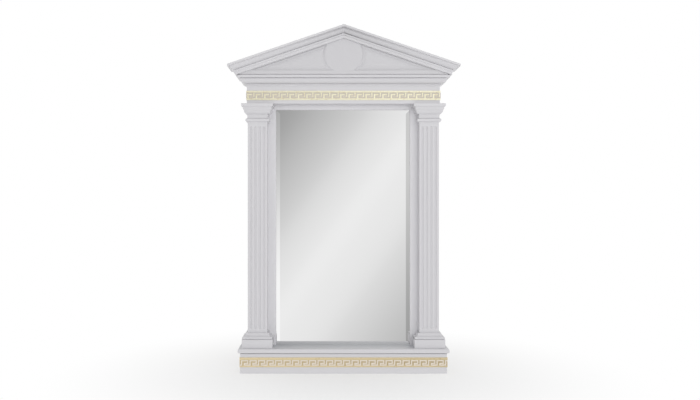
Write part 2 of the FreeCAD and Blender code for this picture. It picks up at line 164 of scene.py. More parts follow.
def finish_tree(tree: Tree, inputs: dict[str, Any]) -> None:
    """Close a material with one principled shader.

    Args:
        tree: The material's node tree.
        inputs: The shader's sockets, as add_node takes them.
    """
    shader = add_node(tree, "BsdfPrincipled", {}, inputs)
    add_node(tree, "OutputMaterial", {}, {"Surface": shader.outputs[0]})


def mottled(
    tree: Tree, place: Socket, noise: dict[str, float], *colours: str
) -> tuple[Socket, Socket]:
    """Mottle a surface with two colours, as fibres, clouds and blooms do.

    Args:
        tree: The material's node tree.
        place: Object coordinates.
        noise: Inputs of the noise that mixes the colours.
        colours: The colour where the noise is low, and the one where it is high.

    Returns:
        The noise and the mixed colour.
    """
    pattern = add_node(tree, "TexNoise", {}, {"Vector": place, **noise})
    low, high = (linear(colour) for colour in colours)
    mix = add_node(tree, "Mix", RGBA, {0: pattern.outputs[0], "A": low, "B": high})
    return pattern.outputs[0], mix.outputs["Result"]


def edges_of(geometry: list[Any]) -> Edges:
    """Return the edges among what an operator made."""
    return [item for item in geometry if isinstance(item, bmesh.types.BMEdge)]


def verts_of(geometry: list[Any]) -> list[bmesh.types.BMVert]:
    """Return the vertices among what an operator made."""
    return [item for item in geometry if isinstance(item, bmesh.types.BMVert)]


def new_object(name: str, mesh: Mesh, material: Material) -> bpy.types.Object:
    """Turn a bmesh into an object of the scene.

    Args:
        name: The object's name.
        mesh: Its shape, which is used up.
        material: Its material.

    Returns:
        The new object.
    """
    data = bpy.data.meshes.new(name)
    mesh.to_mesh(data)
    mesh.free()
    data.materials.append(material)
    thing = bpy.data.objects.new(name, data)
    bpy.context.scene.collection.objects.link(thing)
    return thing


@dataclass(frozen=True)
class Finish:
    """A finish, with its material's name and the slot that its pieces fill."""

    name: str = ""
    slot: str = ""

    def build(self) -> Material:
        """Return the material, which each finish builds in its own way."""
        raise NotImplementedError


@dataclass(frozen=True)
class SatinLacquer(Finish):
    """Polyurethane lacquer, sprayed and satin, over primed fibreboard and mouldings.

    The eye gets one even light grey, a broad soft sheen and the faintest orange peel. The
    faces that go to the wall were never sprayed and show bare board with a little overspray.
    Faces that look up may carry painted shade, a bluish grey that deepens along its run from front
    to back.
    """

    name: str = "satin_lacquer_sprayed"
    slot: str = "satin_lacquer"
    colour: str = "#D4D3D6"
    board: str = "#B79A74"
    primer: str = "#C9C2B4"
    dust: str = "#6A7C86"
    roughness: float = 0.36
    board_roughness: float = 0.85
    tint_mm: float = 260.0
    deepest_tint: float = 0.985
    fibre_mm: float = 3.0
    overspray_mm: float = 38.0
    overspray_noise: Span = (0.35, 0.6)
    board_showing: float = 0.86
    peel_mm: float = 5.0
    squareness: Span = (0.9, 0.98)
    wall_side: float = 0.0
    wall_margin: Span = (0.6 * MM, 0.2 * MM)
    dust_share: float = 0.0
    dust_run: Span = (-1.0, 1.0)

    def build(self) -> Material:
        """Build the finish.

        Returns:
            The material.
        """
        material, tree, place = new_tree(self.name)
        facing = add_node(tree, "NewGeometry", {}, {})
        normal = add_node(tree, "SeparateXYZ", {}, {0: facing.outputs["Normal"]})
        depth = add_node(tree, "SeparateXYZ", {}, {0: place})
        coat = self.coat(tree, place, normal.outputs["Z"], depth.outputs["Y"])
        mask = self.unsprayed(tree, place, normal.outputs["Y"], depth.outputs["Y"])
        noise = {"Scale": per_mm(self.fibre_mm), "Detail": 5.0}
        _, board = mottled(tree, place, noise, self.board, self.primer)
        colour = add_node(tree, "Mix", RGBA, {0: mask, "A": coat, "B": board})
        rough = add_node(
            tree, "MapRange", {},
            {"Value": mask, "To Min": self.roughness, "To Max": self.board_roughness},
        )
        peel = add_node(
            tree, "TexNoise", {}, {"Vector": place, "Scale": per_mm(self.peel_mm), "Detail": 2.0}
        )
        bump = add_node(
            tree, "Bump", {}, {"Strength": 0.06, "Distance": 0.2 * MM, "Height": peel.outputs[0]}
        )
        finish_tree(
            tree,
            {
                "Base Color": colour.outputs["Result"],
                "Roughness": rough.outputs[0],
                "IOR": 1.5,
                "Normal": bump.outputs[0],
            },
        )
        return material

    def coat(self, tree: Tree, place: Socket, upwards: Socket, depth: Socket) -> Socket:
        """Colour the lacquer, with the painted shade on faces that look up.

        Args:
            tree: The material's node tree.
            place: Object coordinates.
            upwards: How far each face looks up.
            depth: The place along Y.

        Returns:
            The colour.
        """
        tint = add_node(
            tree, "TexNoise", {}, {"Vector": place, "Scale": per_mm(self.tint_mm), "Detail": 3.0}
        )
        shade = add_node(
            tree, "MapRange", {},
            {"Value": tint.outputs[0], "To Min": self.deepest_tint, "To Max": 1.0},
        )
        coat = add_node(
            tree, "VectorMath", {"operation": "SCALE"},
            {0: linear(self.colour)[:3], "Scale": shade.outputs[0]},
        )
        # Painted shade: a bluish grey on faces that look up, deeper from front to back.
        low, high = self.squareness
        level = add_node(
            tree, "MapRange", {},
            {"Value": upwards, "From Min": low, "From Max": high, "To Max": self.dust_share},
        )
        front, back = self.dust_run
        inwards = add_node(
            tree, "MapRange", {}, {"Value": depth, "From Min": front, "From Max": back}
        )
        dust_and_shade_film = add_node(tree, "Math", MULTIPLY, {0: level.outputs[0], 1: inwards.outputs[0]})
        shaded_coat = add_node(
            tree, "Mix", RGBA, {0: dust_and_shade_film.outputs[0], "A": coat.outputs[0], "B": linear(self.dust)}
        )
        return shaded_coat.outputs["Result"]

    def unsprayed(self, tree: Tree, place: Socket, backwards: Socket, depth: Socket) -> Socket:
        """Find where the spray didn't reach.

        Args:
            tree: The material's node tree.
            place: Object coordinates.
            backwards: How far each face looks towards the wall.
            depth: The place along Y.

        Returns:
            The share of bare board that shows, from 0 to 1.
        """
        start, end = (self.wall_side - margin for margin in self.wall_margin)
        behind = add_node(
            tree, "MapRange", {}, {"Value": depth, "From Min": start, "From Max": end}
        )
        low, high = self.squareness
        flat = add_node(
            tree, "MapRange", {}, {"Value": backwards, "From Min": low, "From Max": high}
        )
        bare = add_node(tree, "Math", MULTIPLY, {0: behind.outputs[0], 1: flat.outputs[0]})
        mist = add_node(
            tree, "TexNoise", {},
            {"Vector": place, "Scale": per_mm(self.overspray_mm), "Detail": 4.0},
        )
        low, high = self.overspray_noise
        inputs = {"From Min": low, "From Max": high, "To Min": self.board_showing, "To Max": 1.0}
        thin = add_node(tree, "MapRange", {}, {"Value": mist.outputs[0], **inputs})
        mask = add_node(tree, "Math", MULTIPLY, {0: bare.outputs[0], 1: thin.outputs[0]})
        return mask.outputs[0]


@dataclass(frozen=True)
class FrameLacquer(SatinLacquer):
    """The same lacquer a shade lighter, as painted light against the shade in the sunk frame, so
    that it looks like the pilasters.
    """

    name: str = "satin_lacquer_light"
    colour: str = "#DDDCDF"


@dataclass(frozen=True)
class TympanumLacquer(SatinLacquer):
    """The same lacquer a shade deeper, as painted shade, so that the broad tympanum, which catches
    the most light, isn't the lightest face.
    """

    name: str = "satin_lacquer_deep"
    colour: str = "#CCCBCE"


@dataclass(frozen=True)
class DustyLacquer(SatinLacquer):
    """The same lacquer on the ledge, with painted shade on its top that deepens towards the glass.
    """

    name: str = "satin_lacquer_dusty"
    dust_share: float = 0.34


@dataclass(frozen=True)
class StoneLacquer(SatinLacquer):
    """The same lacquer tinted a warm stone, which picks the fret out from the gold behind."""

    name: str = "satin_lacquer_stone_tinted"
    colour: str = "#CDC5B9"


@dataclass(frozen=True)
class PaleStoneLacquer(SatinLacquer):
    """The same tint a shade lighter, as painted light, so that the fret near the floor looks as
    light as the one above.
    """

    name: str = "satin_lacquer_pale_stone_tinted"
    # A lighter copy of the stone tint, as painted light.
    colour: str = "#E6DCCE"


@dataclass(frozen=True)
class GoldLeaf(Finish):
    """Pale gold leaf, laid on a moulded strip, rubbed back and sealed with a clear size.

    The eye gets a soft champagne glint, a fine crinkle, warmer worn patches and a thin clear
    gloss. Painted shade, an umber brown, may lie on the ground between the band's two rails.
    """

    name: str = "pale_gold_leaf_rubbed"
    slot: str = "gilt_key_band"
    leaf: str = "#F3EED2"
    rubbed: str = "#D2BE92"
    umber: str = "#8A6F49"
    wash: float = 0.0
    wash_edge: float = 1.0 * MM
    ground: Span = (0.0, 0.0)
    worn_mm: float = 14.0
    worn_noise: Span = (0.52, 0.72)
    worn_share: float = 0.55
    crinkle_mm: float = 3.2
    roughness: Span = (0.24, 0.44)
    clear_size: float = 0.7

    def build(self) -> Material:
        """Build the finish.

        Returns:
            The material.
        """
        material, tree, place = new_tree(self.name)
        crinkle = add_node(
            tree, "TexNoise", {},
            {"Vector": place, "Scale": per_mm(self.crinkle_mm), "Detail": 6.0},
        )
        smooth, coarse = self.roughness
        rough = add_node(
            tree, "MapRange", {}, {"Value": crinkle.outputs[0], "To Min": smooth, "To Max": coarse}
        )
        bump = add_node(
            tree, "Bump", {},
            {"Strength": 0.25, "Distance": 0.25 * MM, "Height": crinkle.outputs[0]},
        )
        finish_tree(
            tree,
            {
                "Base Color": self.washed(tree, place, self.rubbed_back(tree, place)),
                "Metallic": 0.8,
                "Roughness": rough.outputs[0],
                "Coat Weight": self.clear_size,
                "Coat Roughness": 0.3,
                "Normal": bump.outputs[0],
            },
        )
        return material

    def rubbed_back(self, tree: Tree, place: Socket) -> Socket:
        """Colour the leaf with its worn patches.

        Args:
            tree: The material's node tree.
            place: Object coordinates.

        Returns:
            The colour.
        """
        worn = add_node(
            tree, "TexNoise", {}, {"Vector": place, "Scale": per_mm(self.worn_mm), "Detail": 4.0}
        )
        low, high = self.worn_noise
        inputs = {"From Min": low, "From Max": high, "To Max": self.worn_share}
        patch = add_node(tree, "MapRange", {}, {"Value": worn.outputs[0], **inputs})
        colour = add_node(
            tree, "Mix", RGBA,
            {0: patch.outputs[0], "A": linear(self.leaf), "B": linear(self.rubbed)},
        )
        return colour.outputs["Result"]

    def washed(self, tree: Tree, place: Socket, leaf: Socket) -> Socket:
        """Lay the painted shade, an umber brown, between the rails.

        Args:
            tree: The material's node tree.
            place: Object coordinates.
            leaf: Colour of the leaf.

        Returns:
            The colour.
        """
        low, high = self.ground
        half = (high - low) / 2
        axes = add_node(tree, "SeparateXYZ", {}, {0: place})
        above = add_node(
            tree, "Math", {"operation": "SUBTRACT"}, {0: axes.outputs["Z"], 1: (low + high) / 2}
        )
        away = add_node(tree, "Math", {"operation": "ABSOLUTE"}, {0: above.outputs[0]})
        end = half + self.wash_edge
        inputs = {"From Min": half, "From Max": end, "To Min": self.wash, "To Max": 0.0}
        share = add_node(tree, "MapRange", {}, {"Value": away.outputs[0], **inputs})
        # Painted shade: umber brown laid on the ground between the rails.
        colour = add_node(
            tree, "Mix", RGBA, {0: share.outputs[0], "A": leaf, "B": linear(self.umber)}
        )
        return colour.outputs["Result"]


@dataclass(frozen=True)
class ToneWashedLeaf(GoldLeaf):
    """The same leaf, a deeper gold as painted shade, with more painted shade in umber behind the
    fret near the floor.
    """

    name: str = "gold_leaf_tone_washed"
    # A deeper copy of the leaf, as painted shade.
    leaf: str = "#EBD9AF"
    wash: float = 0.32


@dataclass(frozen=True)
class SilveredGlass(Finish):
    """Float glass, silvered behind, with a ground and polished bevel.

    The eye gets a clean, bright reflection, which a film of dust softens a little in places.
    """

    name: str = "silvered_float_glass"
    slot: str = "silvered_mirror"
    silver: str = "#F6F6F6"
    film_mm: float = 140.0

    def build(self) -> Material:
        """Build the finish.

        Returns:
            The material.
        """
        material, tree, place = new_tree(self.name)
        dust_and_shade_film = add_node(
            tree, "TexNoise", {}, {"Vector": place, "Scale": per_mm(self.film_mm), "Detail": 3.0}
        )
        rough = add_node(
            tree, "MapRange", {},
            {"Value": dust_and_shade_film.outputs[0], "From Min": 0.4, "From Max": 0.8, "To Max": 0.02},
        )
        silver = linear(self.silver)
        finish_tree(tree, {"Base Color": silver, "Metallic": 1.0, "Roughness": rough.outputs[0]})
        return material


@dataclass(frozen=True)
class Hardboard(Finish):
    """Wet-process hardboard with its screen-marked side out.

    The eye gets a dull brown sheet with darker fibres and a fine woven mark, which is drawn
    twice as coarse as real, so that it shows.
    """

    name: str = "hardboard_screen_marked"
    slot: str = "hardboard"
    light: str = "#A47D50"
    dark: str = "#7F5D39"
    fibre_mm: float = 14.0
    screen_mm: float = 4.0
    waves_per_unit: float = 3.0

    def build(self) -> Material:
        """Build the finish.

        Returns:
            The material.
        """
        material, tree, place = new_tree(self.name)
        noise = {"Scale": per_mm(self.fibre_mm), "Detail": 8.0}
        _, colour = mottled(tree, place, noise, self.dark, self.light)
        warp, weft = (
            add_node(
                tree, "TexWave", {"bands_direction": direction},
                {"Vector": place, "Scale": per_mm(self.screen_mm) / self.waves_per_unit},
            )
            for direction in "XZ"
        )
        weave = add_node(tree, "Math", MULTIPLY, {0: warp.outputs["Fac"], 1: weft.outputs["Fac"]})
        bump = add_node(
            tree, "Bump", {}, {"Strength": 0.5, "Distance": 0.4 * MM, "Height": weave.outputs[0]}
        )
        finish_tree(tree, {"Base Color": colour, "Roughness": 0.72, "Normal": bump.outputs[0]})
        return material


@dataclass(frozen=True)
class ZincPlate(Finish):
    """Pressed mild steel, bright zinc plated.

    The eye gets a cool grey metal with a cloudy, slightly milky shine.
    """

    name: str = "mild_steel_zinc_plated"
    slot: str = "zinc_plated_hangers"
    light: str = "#C9CDD0"
    dark: str = "#9EA4A8"
    cloud_mm: float = 6.0
    roughness: Span = (0.24, 0.44)

    def build(self) -> Material:
        """Build the finish.

        Returns:
            The material.
        """
        material, tree, place = new_tree(self.name)
        noise = {"Scale": per_mm(self.cloud_mm), "Detail": 4.0}
        cloud, colour = mottled(tree, place, noise, self.dark, self.light)
        bright, milky = self.roughness
        rough = add_node(tree, "MapRange", {}, {"Value": cloud, "To Min": bright, "To Max": milky})
        finish_tree(tree, {"Base Color": colour, "Metallic": 1.0, "Roughness": rough.outputs[0]})
        return material


@dataclass(frozen=True)
class MatteFinish(Finish):
    """A matte finish with flecks of a second colour.

    The relief is the strength of the bump that its flecks make, and their height.
    """

    colour: str = ""
    fleck: str = ""
    fleck_mm: float = 1.0
    detail: float = 2.0
    distortion: float = 0.0
    relief: Span = (0.0, 0.0)
    roughness: float = 0.5
    sheen: float = 0.0

    def build(self) -> Material:
        """Build the finish.

        Returns:
            The material.
        """
        material, tree, place = new_tree(self.name)
        noise = {
            "Scale": per_mm(self.fleck_mm), "Detail": self.detail, "Distortion": self.distortion
        }
        flecks, colour = mottled(tree, place, noise, self.colour, self.fleck)
        inputs = {"Base Color": colour, "Roughness": self.roughness, "Sheen Weight": self.sheen}
        strength, height = self.relief
        if strength:
            bump = add_node(
                tree, "Bump", {}, {"Strength": strength, "Distance": height, "Height": flecks}
            )
            inputs["Normal"] = bump.outputs[0]
        finish_tree(tree, inputs)
        return material


@dataclass(frozen=True)
class BareBoard(MatteFinish):
    """Medium-density fibreboard, sawn and left bare.

    The eye gets a matte tan with a fine even speckle.
    """

    name: str = "fibreboard_sawn"
    slot: str = "bare_fibreboard"
    colour: str = "#A98860"
    fleck: str = "#C9AC84"
    fleck_mm: float = 2.4
    detail: float = 6.0
    relief: Span = (0.3, 0.2 * MM)
    roughness: float = 0.88


@dataclass(frozen=True)
class WoolFelt(MatteFinish):
    """Dense pressed wool felt, dyed charcoal.

    The eye gets a dark matte pad with a soft rim of sheen and pale loose hairs, which are
    drawn coarser than real, so that they show.
    """

    name: str = "wool_felt_charcoal"
    slot: str = "felt_pads"
    colour: str = "#3A3A3C"
    fleck: str = "#6A6A6C"
    fleck_mm: float = 1.2
    detail: float = 8.0
    distortion: float = 1.5
    relief: Span = (0.7, 0.4 * MM)
    roughness: float = 0.95
    sheen: float = 0.4


@dataclass(frozen=True)
class SettingRubber(MatteFinish):
    """Moulded black rubber of the blocks that the glass stands on.

    The eye gets a matte black with a faint grey bloom.
    """

    name: str = "rubber_moulded_black"
    slot: str = "rubber_blocks"
    colour: str = "#1E1E1F"
    fleck: str = "#323233"
    fleck_mm: float = 5.0
    detail: float = 3.0
    roughness: float = 0.7


@dataclass
class Workshop:
    """The CAD nodes, the finishes, and the ways to dress a piece."""

    nodes: dict[str, bpy.types.Object]
    arris: float = 0.6 * MM
    arris_faces: int = 2
    merge: float = 0.02 * MM
    level: float = math.radians(0.5)
    crease: float = math.radians(28)
    twin_length: float = 0.2 * MM
    twin_area: float = 5 * MM * MM
    finishes: dict[type, Material] = field(default_factory=dict)
    slots: dict[type, str] = field(default_factory=dict)
    joints: set[tuple[int, ...]] = field(default_factory=set)

    def __post_init__(self) -> None:
        """Note where two nodes share a whole face, as the two sides of a mitre do."""
        seen: Counter[tuple[int, ...]] = Counter()
        for name in self.nodes:
            mesh = self.merged(name)
            seen.update(self.trace(face) for face in mesh.faces)
            mesh.free()
        self.joints = {trace for trace, count in seen.items() if count > 1}

    def trace(self, face: bmesh.types.BMFace) -> tuple[int, ...]:
        """Return a face's middle and area in rough whole numbers, which its twin shares."""
        middle = (round(length / self.twin_length) for length in face.calc_center_median())
        return (*middle, round(face.calc_area() / self.twin_area))

    def stock(self, *finishes: Finish) -> None:
        """Build the materials of some finishes.

        Args:
            finishes: The finishes, each of its own class.
        """
        for finish in finishes:
            self.finishes[type(finish)] = finish.build()
            self.slots[type(finish)] = finish.slot

    def paint(self, name: str, finish: type[Finish]) -> None:
        """Give a CAD node a finish and keep its mesh.

        Args:
            name: The CAD node.
            finish: The class of its finish.
        """
        for slot in self.nodes[name].material_slots:
            slot.material = self.finishes[finish]
        LOG.info("painted %s", name)

    def place(
        self, name: str, mesh: Mesh, finish: type[Finish], body: str = FRAME_BODY
    ) -> bpy.types.Object:
        """Turn a bmesh into a piece of the object.

        Args:
            name: The piece's name.
            mesh: Its shape, which is used up.
            finish: The class of its finish.
            body: The CAD body that it rides on.

        Returns:
            The new piece.
        """
        for face in mesh.faces:
            face.smooth = True
        piece = new_object(name, mesh, self.finishes[finish])
        weight = piece.modifiers.new("flat faces stay flat", "WEIGHTED_NORMAL")
        weight.keep_sharp = True
        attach(piece, body)
        LOG.info("made %s", name)
        return piece

    def merged(self, name: str) -> Mesh:
        """Copy a CAD node and join its triangles into whole faces.

        Args:
            name: The CAD node.

        Returns:
            The copy.
        """
        mesh = bmesh.new()
        mesh.from_mesh(self.nodes[name].data)
        bmesh.ops.remove_doubles(mesh, verts=mesh.verts[:], dist=self.merge)
        bmesh.ops.dissolve_limit(
            mesh, angle_limit=self.level, use_dissolve_boundaries=False,
            verts=mesh.verts[:], edges=mesh.edges[:],
        )
        return mesh

    def soften(self, mesh: Mesh, edges: Edges, width: float, segments: int) -> None:
        """Round some edges of a mesh.

        Args:
            mesh: The mesh.
            edges: Its edges to round.
            width: How far the rounding reaches from each edge.
            segments: Number of faces across it.
        """
        bmesh.ops.bevel(
            mesh, geom=edges, offset=width, offset_type="OFFSET", segments=segments, profile=0.5,
            affect="EDGES", clamp_overlap=True, material=-1,
        )

    def thicken(self, mesh: Mesh, coat: float) -> None:
        """Move the faces of a mesh outwards, as a coat laid on thick does.

        Args:
            mesh: The mesh.
            coat: Thickness of the coat.
        """
        outwards = {v: sum((face.normal for face in v.link_faces), Vector()) for v in mesh.verts}
        for vert, out in outwards.items():
            bmesh.ops.translate(mesh, verts=[vert], vec=out * coat)

    def ease(
        self, name: str, finish: type[Finish], arris: float | None = None, coat: float = 0.0
    ) -> None:
        """Replace a CAD node by a copy whose arrises are eased, as sanding and paint leave them.

        The edges of a mitre stay sharp, so that the joint closes.

        Args:
            name: The CAD node.
            finish: The class of its finish.
            arris: Width of the easing, or None for the workshop's own.
            coat: Thickness of a coat laid on thick, if there is one.
        """
        mesh = self.merged(name)
        mitres = {e for face in mesh.faces if self.trace(face) in self.joints for e in face.edges}
        if coat:
            self.thicken(mesh, coat)
        sharp = [
            edge
            for edge in mesh.edges
            if edge not in mitres
            and len(edge.link_faces) == 2
            and edge.calc_face_angle(0.0) > self.crease
        ]
        self.soften(mesh, sharp, arris or self.arris, self.arris_faces)
        piece = self.place(name + "_eased", mesh, finish, self.nodes[name]["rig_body"])
        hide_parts(name)


@dataclass
class KeyBand:
    """A gilt key band with its raised fret, whose coat is laid on thick."""

    board: str
    leaf: type[Finish]
    lacquer: type[Finish]
    band_arris: float = 0.5 * MM
    fret_arris: float = 0.6 * MM
    coat: float = 0.7 * MM

    def build(self, shop: Workshop) -> None:
        """Dress the band and the fret.

        Args:
            shop: The workshop.
        """
        shop.ease(f"{self.board}_key_band", self.leaf, self.band_arris)
        shop.ease(f"{self.board}_key_fret", self.lacquer, self.fret_arris, self.coat)


@dataclass
class Plinth:
    """The hollow plinth with its ledge and its gilt key band."""

    boards: tuple[str, ...] = ("plinth_front_board", "plinth_left_board", "plinth_right_board")

    def build(self, shop: Workshop) -> None:
        """Dress the boards, the ledge and the band.

        Args:
            shop: The workshop.
        """
        for name in self.boards:
            shop.ease(name, SatinLacquer)
        # The ledge's top gets painted shade, darker towards the glass.
        shop.paint("ledge", DustyLacquer)
        shop.paint("plinth_back_board", BareBoard)
        KeyBand("plinth", ToneWashedLeaf, PaleStoneLacquer).build(shop)


@dataclass
class Pilaster:
    """One fluted pilaster with its base, its astragal and its capital."""

    side: Side
    pieces: tuple[str, ...] = (
        "fluted_front", "inner_side", "outer_side", "base_block", "astragal", "capital",
        "base_moulding",
    )

    def build(self, shop: Workshop) -> None:
        """Dress the shaft and its mouldings.

        Args:
            shop: The workshop.
        """
        for piece in self.pieces:
            shop.ease(f"pilaster_{self.side.word}_{piece}", SatinLacquer)


@dataclass
class GlassOpening:
    """The frame round the glass, the glass itself and what closes it behind."""

    bead_arris: float = 0.4 * MM
    panel_arris: float = 0.5 * MM
    batten_arris: float = 0.8 * MM
    batten: float = 14 * MM
    pin_radius: float = 0.9 * MM
    pin_spacing: float = 0.16

    def build(self, shop: Workshop) -> None:
        """Dress the stiles, the beads, the glass and the back.

        Args:
            shop: The workshop.
        """
        # The sunk frame and its beads get a lighter copy of the lacquer, as painted light.
        for name in ("frame_left_stile", "frame_right_stile", "frame_head_rail"):
            shop.ease(name, FrameLacquer)
        for name in ("sight_bead_left", "sight_bead_right", "sight_bead_top"):
            shop.ease(name, FrameLacquer, self.bead_arris)
        shop.paint("mirror_glass", SilveredGlass)
        shop.paint("glass_setting_blocks", SettingRubber)
        shop.ease("back_panel", Hardboard, self.panel_arris)
        shop.ease("back_panel_battens", BareBoard, self.batten_arris)
        self.pins(shop)

    def pins(self, shop: Workshop) -> None:
        """Make the heads of the pins that hold the battens.

        Args:
            shop: The workshop.
        """
        low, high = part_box("back_panel_battens")
        across, top = high.x - self.batten / 2, high.z - self.batten / 2
        uprights = self.spaced(low.z, high.z - self.batten)
        places = [(side.value * across, z) for side in Side for z in uprights]
        places += [(x, top) for x in self.spaced(low.x, high.x)]
        outwards = Matrix.Rotation(QUARTER_TURN, 4, "X")
        mesh = bmesh.new()
        for x, z in places:
            turn = Matrix.Translation((x, high.y, z)) @ outwards
            bmesh.ops.create_uvsphere(
                mesh, u_segments=12, v_segments=6, radius=self.pin_radius, matrix=turn
            )
        shop.place("batten_pins", mesh, ZincPlate)

    def spaced(self, low: float, high: float) -> list[float]:
        """Return even places between two ends, about a pin's spacing apart."""
        count = round((high - low) / self.pin_spacing)
        return [low + (i + 0.5) * (high - low) / count for i in range(count)]


@dataclass
class Frieze:
    """The frieze with its soffit, its gilt key band and the cornice over it."""

    cornice_arris: float = 0.4 * MM

    def build(self, shop: Workshop) -> None:
        """Dress the frieze and the cornice.

        Args:
            shop: The workshop.
        """
        for place in ("front", "left", "right"):
            shop.ease(f"frieze_{place}_board", SatinLacquer)
            shop.ease(f"cornice_{place}", SatinLacquer, self.cornice_arris)
        shop.ease("frieze_soffit", SatinLacquer)
        KeyBand("frieze", GoldLeaf, StoneLacquer).build(shop)
        shop.paint("dust_board", BareBoard)


@dataclass
class Pediment:
    """The pediment with its sunk panels, its raking crown and its roof."""

    tympanum_arris: float = 0.3 * MM
    panel_arris: float = 0.4 * MM
    crown_arris: float = 0.4 * MM

    def build(self, shop: Workshop) -> None:
        """Dress the pediment.

        Args:
            shop: The workshop.
        """
        # The tympanum and its panels get a darker copy of the lacquer, as painted shade.
        shop.ease("tympanum_board", TympanumLacquer, self.tympanum_arris)
        for side in Side:
            shop.ease(f"tympanum_{side.word}_panel", TympanumLacquer, self.panel_arris)
            shop.ease(f"raking_crown_{side.word}", SatinLacquer, self.crown_arris)
            shop.ease(f"crown_return_{side.word}", SatinLacquer, self.crown_arris)
            shop.ease(f"roof_{side.word}_board", SatinLacquer)
            shop.ease(f"pediment_{side.word}_side", SatinLacquer)
        shop.paint("pediment_back", BareBoard)
        shop.paint("corner_glue_blocks", BareBoard)


@dataclass
class Hanger:
    """One strap hanger with its bent wire loop."""

    side: Side
    strap_arris: float = 0.25 * MM
    wire: float = 1.75 * MM
    wire_sides: int = 20
    bend: float = 4.0 * MM
    bend_steps: int = 8
    weld: float = 0.05 * MM

    def build(self, shop: Workshop) -> None:
        """Make the loop and dress the strap.

        Args:
            shop: The workshop.
        """
        self.loop(shop)
        shop.ease(f"hanger_strap_{self.side.word}", ZincPlate, self.strap_arris)

    def loop(self, shop: Workshop) -> None:
        """Bend the loop from round wire, with a joint in the middle of its top bar.

        Args:
            shop: The workshop.
        """
        node = f"hanging_loop_{self.side.word}"
        low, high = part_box(node)
        half_x = (high.x - low.x) / 2 - self.wire
        half_z = (high.z - low.z) / 2 - self.wire
        centre = (low + high) / 2 + Vector((0.0, 0.0, half_z))
        turn = Matrix.Translation(centre) @ Matrix.Rotation(QUARTER_TURN, 4, "Y")
        mesh = bmesh.new()
        bmesh.ops.create_circle(
            mesh, cap_ends=False, segments=self.wire_sides, radius=self.wire, matrix=turn
        )
        edges = mesh.edges[:]
        right, up = Vector((1.0, 0.0, 0.0)), Vector((0.0, 0.0, 1.0))
        directions = (right, -up, -right, up, right)
        lengths = (half_x, 2 * half_z, 2 * half_x, 2 * half_z, half_x)
        last = len(directions) - 1
        for number, (along, length) in enumerate(zip(directions, lengths)):
            bends = 1 if number in (0, last) else 2
            run = along * (length - bends * self.bend)
            edges = self.straight(mesh, edges, run)
            centre += run
            if number < last:
                pivot = centre + directions[number + 1] * self.bend
                edges = self.corner(mesh, edges, pivot)
                centre = pivot + along * self.bend
        bmesh.ops.remove_doubles(mesh, verts=mesh.verts[:], dist=self.weld)
        bmesh.ops.recalc_face_normals(mesh, faces=mesh.faces[:])
        name = f"bent_wire_loop_{self.side.word}"
        piece = shop.place(name, mesh, ZincPlate, shop.nodes[node]["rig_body"])
        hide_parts(node)

    def straight(self, mesh: Mesh, edges: Edges, run: Vector) -> Edges:
        """Draw the wire out along a straight run.

        Args:
            mesh: The wire.
            edges: The ring at its end.
            run: The way and how far it goes.

        Returns:
            The ring at its new end.
        """
        grown = bmesh.ops.extrude_edge_only(mesh, edges=edges)["geom"]
        bmesh.ops.translate(mesh, verts=verts_of(grown), vec=run)
        return edges_of(grown)

    def corner(self, mesh: Mesh, edges: Edges, pivot: Vector) -> Edges:
        """Bend the wire a quarter turn.

        Args:
            mesh: The wire.
            edges: The ring at its end.
            pivot: Centre of the bend.

        Returns:
            The ring at its new end.
        """
        grown = bmesh.ops.spin(
            mesh, geom=edges, cent=pivot, axis=(0, 1, 0), angle=QUARTER_TURN, steps=self.bend_steps
        )
        return edges_of(grown["geom_last"])


